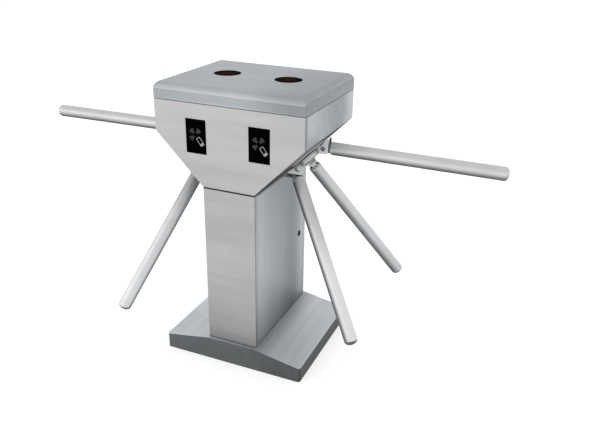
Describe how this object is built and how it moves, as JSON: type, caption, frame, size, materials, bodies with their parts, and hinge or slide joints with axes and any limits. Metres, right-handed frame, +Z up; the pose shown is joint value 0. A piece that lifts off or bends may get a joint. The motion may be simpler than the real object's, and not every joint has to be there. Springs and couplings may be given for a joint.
{
  "type": "tripod turnstile",
  "caption": "Twin tripod turnstile: brushed steel cabinet head with slanted lower sides on a column and sloped plinth, drop-arm tripods on both sides, hinged lid and card windows.",
  "frame": {"origin": "middle of the plinth on the floor", "axes": "+X across the passage towards the right-hand tripod, +Y away from the card windows, +Z up"},
  "size_m": [1.6469, 0.8597, 0.98],
  "materials": {
    "cabinet_steel": "satin, brushed",
    "arm_steel": "fine satin polish",
    "arm_root_steel": "satin",
    "hub_casting": "machined and bead blasted",
    "ring_steel": "satin",
    "pin_steel": "turned",
    "hinge_steel": "satin",
    "floor_steel": "zinc coated",
    "mechanism_steel": "matt coated",
    "housing_iron": "machined casting",
    "bearing_steel": "ground",
    "wheel_brass": "machined",
    "spring_steel": "oiled",
    "coil_body": "moulded",
    "circuit_board": "solder mask green",
    "supply_case": "perforated sheet",
    "reader_glass": "gloss black",
    "reader_case": "moulded",
    "lens_plastic": "smoked",
    "lock_metal": "plated",
    "lock_black": "matt"
  },
  "bodies": {
    "frame": {"base_plate": "floor_steel", "plinth_cover": "cabinet_steel", "column_shell": "cabinet_steel", "head_shell": "cabinet_steel", "service_panel": "cabinet_steel", "lock_barrel": "lock_metal", "reader_window_left": "reader_glass", "reader_window_right": "reader_glass", "reader_modules": "reader_case", "mechanism_frame_right": "mechanism_steel", "mechanism_frame_left": "mechanism_steel", "bearing_housing_right": "housing_iron", "bearing_housing_left": "housing_iron", "shaft_bearings": "bearing_steel", "cover_rings": "ring_steel", "solenoids": "coil_body", "rotary_dampers": "coil_body", "position_sensors": "coil_body", "index_springs": "spring_steel", "control_board": "circuit_board", "power_supply": "supply_case", "cable_gland": "lock_black", "frame_fasteners": "pin_steel", "lid_hinge_fixed_leaves": "hinge_steel", "latch_guides": "lock_black"},
    "lid": {"lid_shell": "cabinet_steel", "indicator_lens_left": "lens_plastic", "indicator_lens_right": "lens_plastic", "light_boards": "circuit_board", "lid_hinge_moving_leaves": "hinge_steel"},
    "latch": {"latch_bolt": "pin_steel"},
    "lock": {"lock_plug": "lock_black", "lock_cam": "lock_metal"},
    "rotor_right": {"hub_right": "hub_casting", "hub_shaft_right": "pin_steel", "lock_wheel_right": "wheel_brass", "pivot_pins_right": "pin_steel"},
    "arm_right_1": {"arm_tube_right_1": "arm_steel", "arm_root_right_1": "arm_root_steel"},
    "arm_right_2": {"arm_tube_right_2": "arm_steel", "arm_root_right_2": "arm_root_steel"},
    "arm_right_3": {"arm_tube_right_3": "arm_steel", "arm_root_right_3": "arm_root_steel"},
    "plunger_right": {"pawl_plunger_right": "pin_steel"},
    "pawl_right": {"lock_pawl_right": "wheel_brass"},
    "index_lever_right": {"index_lever_right": "wheel_brass"},
    "rotor_left": {"hub_left": "hub_casting", "hub_shaft_left": "pin_steel", "lock_wheel_left": "wheel_brass", "pivot_pins_left": "pin_steel"},
    "arm_left_1": {"arm_tube_left_1": "arm_steel", "arm_root_left_1": "arm_root_steel"},
    "arm_left_2": {"arm_tube_left_2": "arm_steel", "arm_root_left_2": "arm_root_steel"},
    "arm_left_3": {"arm_tube_left_3": "arm_steel", "arm_root_left_3": "arm_root_steel"},
    "plunger_left": {"pawl_plunger_left": "pin_steel"},
    "pawl_left": {"lock_pawl_left": "wheel_brass"},
    "index_lever_left": {"index_lever_left": "wheel_brass"}
  },
  "joints": [
    {"name": "lid_hinge", "type": "hinge", "parent": "frame", "child": "lid", "pos_m": [0, 0.2179, 0.926], "axis": [-1, 0, 0], "range_deg": [0, 100]},
    {"name": "lid_latch", "type": "slide", "parent": "frame", "child": "latch", "axis": [-1, 0, 0], "range_m": [0, 0.018]},
    {"name": "key_lock", "type": "hinge", "parent": "frame", "child": "lock", "pos_m": [0.092, 0.156, 0.371], "axis": [1, 0, 0], "range_deg": [0, 90]},
    {"name": "rotor_right_turn", "type": "hinge", "parent": "frame", "child": "rotor_right", "pos_m": [0.1765, 0, 0.7405], "axis": [0.7071, 0, -0.7071], "continuous": true},
    {"name": "arm_right_1_drop", "type": "hinge", "parent": "rotor_right", "child": "arm_right_1", "pos_m": [0.24155, 0, 0.77444], "axis": [0, 1, 0], "range_deg": [0, 90]},
    {"name": "arm_right_2_drop", "type": "hinge", "parent": "rotor_right", "child": "arm_right_2", "pos_m": [0.16731, -0.06062, 0.7002], "axis": [0.6124, -0.5, 0.6124], "range_deg": [-20.6, 0]},
    {"name": "arm_right_3_drop", "type": "hinge", "parent": "rotor_right", "child": "arm_right_3", "pos_m": [0.16731, 0.06062, 0.7002], "axis": [-0.6124, -0.5, -0.6124], "range_deg": [-20.6, 0]},
    {"name": "plunger_right_stroke", "type": "slide", "parent": "frame", "child": "plunger_right", "axis": [0, -1, 0], "range_m": [0, 0.009]},
    {"name": "pawl_right_lift", "type": "hinge", "parent": "frame", "child": "pawl_right", "pos_m": [0.05983, 0.058, 0.78929], "axis": [0.7071, 0, -0.7071], "range_deg": [0, 8]},
    {"name": "index_lever_right_drop", "type": "hinge", "parent": "frame", "child": "index_lever_right", "pos_m": [0.05276, -0.064, 0.79636], "axis": [-0.7071, 0, 0.7071], "range_deg": [0, 3.5]},
    {"name": "rotor_left_turn", "type": "hinge", "parent": "frame", "child": "rotor_left", "pos_m": [-0.1765, 0, 0.7405], "axis": [0.7071, 0, 0.7071], "continuous": true},
    {"name": "arm_left_1_drop", "type": "hinge", "parent": "rotor_left", "child": "arm_left_1", "pos_m": [-0.24152, -0.00244, 0.77441], "axis": [0.0247, -0.9994, -0.0247], "range_deg": [0, 90]},
    {"name": "arm_left_2_drop", "type": "hinge", "parent": "rotor_left", "child": "arm_left_2", "pos_m": [-0.16583, -0.05936, 0.69871], "axis": [0.5997, 0.5299, -0.5997], "range_deg": [0, 20.6]},
    {"name": "arm_left_3_drop", "type": "hinge", "parent": "rotor_left", "child": "arm_left_3", "pos_m": [-0.16882, 0.06181, 0.70171], "axis": [-0.6243, 0.4695, 0.6243], "range_deg": [0, 20.6]},
    {"name": "plunger_left_stroke", "type": "slide", "parent": "frame", "child": "plunger_left", "axis": [0, -1, 0], "range_m": [0, 0.009]},
    {"name": "pawl_left_lift", "type": "hinge", "parent": "frame", "child": "pawl_left", "pos_m": [-0.05983, 0.058, 0.78929], "axis": [0.7071, 0, 0.7071], "range_deg": [0, 8]},
    {"name": "index_lever_left_drop", "type": "hinge", "parent": "frame", "child": "index_lever_left", "pos_m": [-0.05276, -0.064, 0.79636], "axis": [-0.7071, 0, -0.7071], "range_deg": [0, 3.5]}
  ],
  "couplings": [
    {"joint": "pawl_right_lift", "follows": "plunger_right_stroke", "rad_per_m": 15.514},
    {"joint": "pawl_left_lift", "follows": "plunger_left_stroke", "rad_per_m": 15.514}
  ]
}
